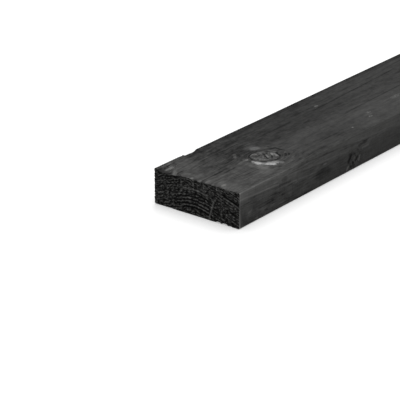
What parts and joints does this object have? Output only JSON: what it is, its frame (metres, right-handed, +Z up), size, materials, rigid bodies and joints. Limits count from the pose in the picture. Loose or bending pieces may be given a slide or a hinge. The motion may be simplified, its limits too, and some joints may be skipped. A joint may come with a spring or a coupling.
{
  "type": "timber beam",
  "caption": "Rectangular length of sawn softwood, stained black, with eased long arrises and square ends, cut to size as a joist, rail or framing member.",
  "frame": {"origin": "middle of the wide face that the beam lies on, half way along its length", "axes": "+X along the length, away from the end with the torn chip; +Y across the width, towards the arris with the knock; +Z up, through the thickness"},
  "size_m": [2.4, 0.125, 0.045],
  "materials": {
    "stained_timber": "sawn softwood with a black stain, dull, the grain showing through"
  },
  "bodies": {
    "root": {"beam": "stained_timber"}
  },
  "joints": []
}
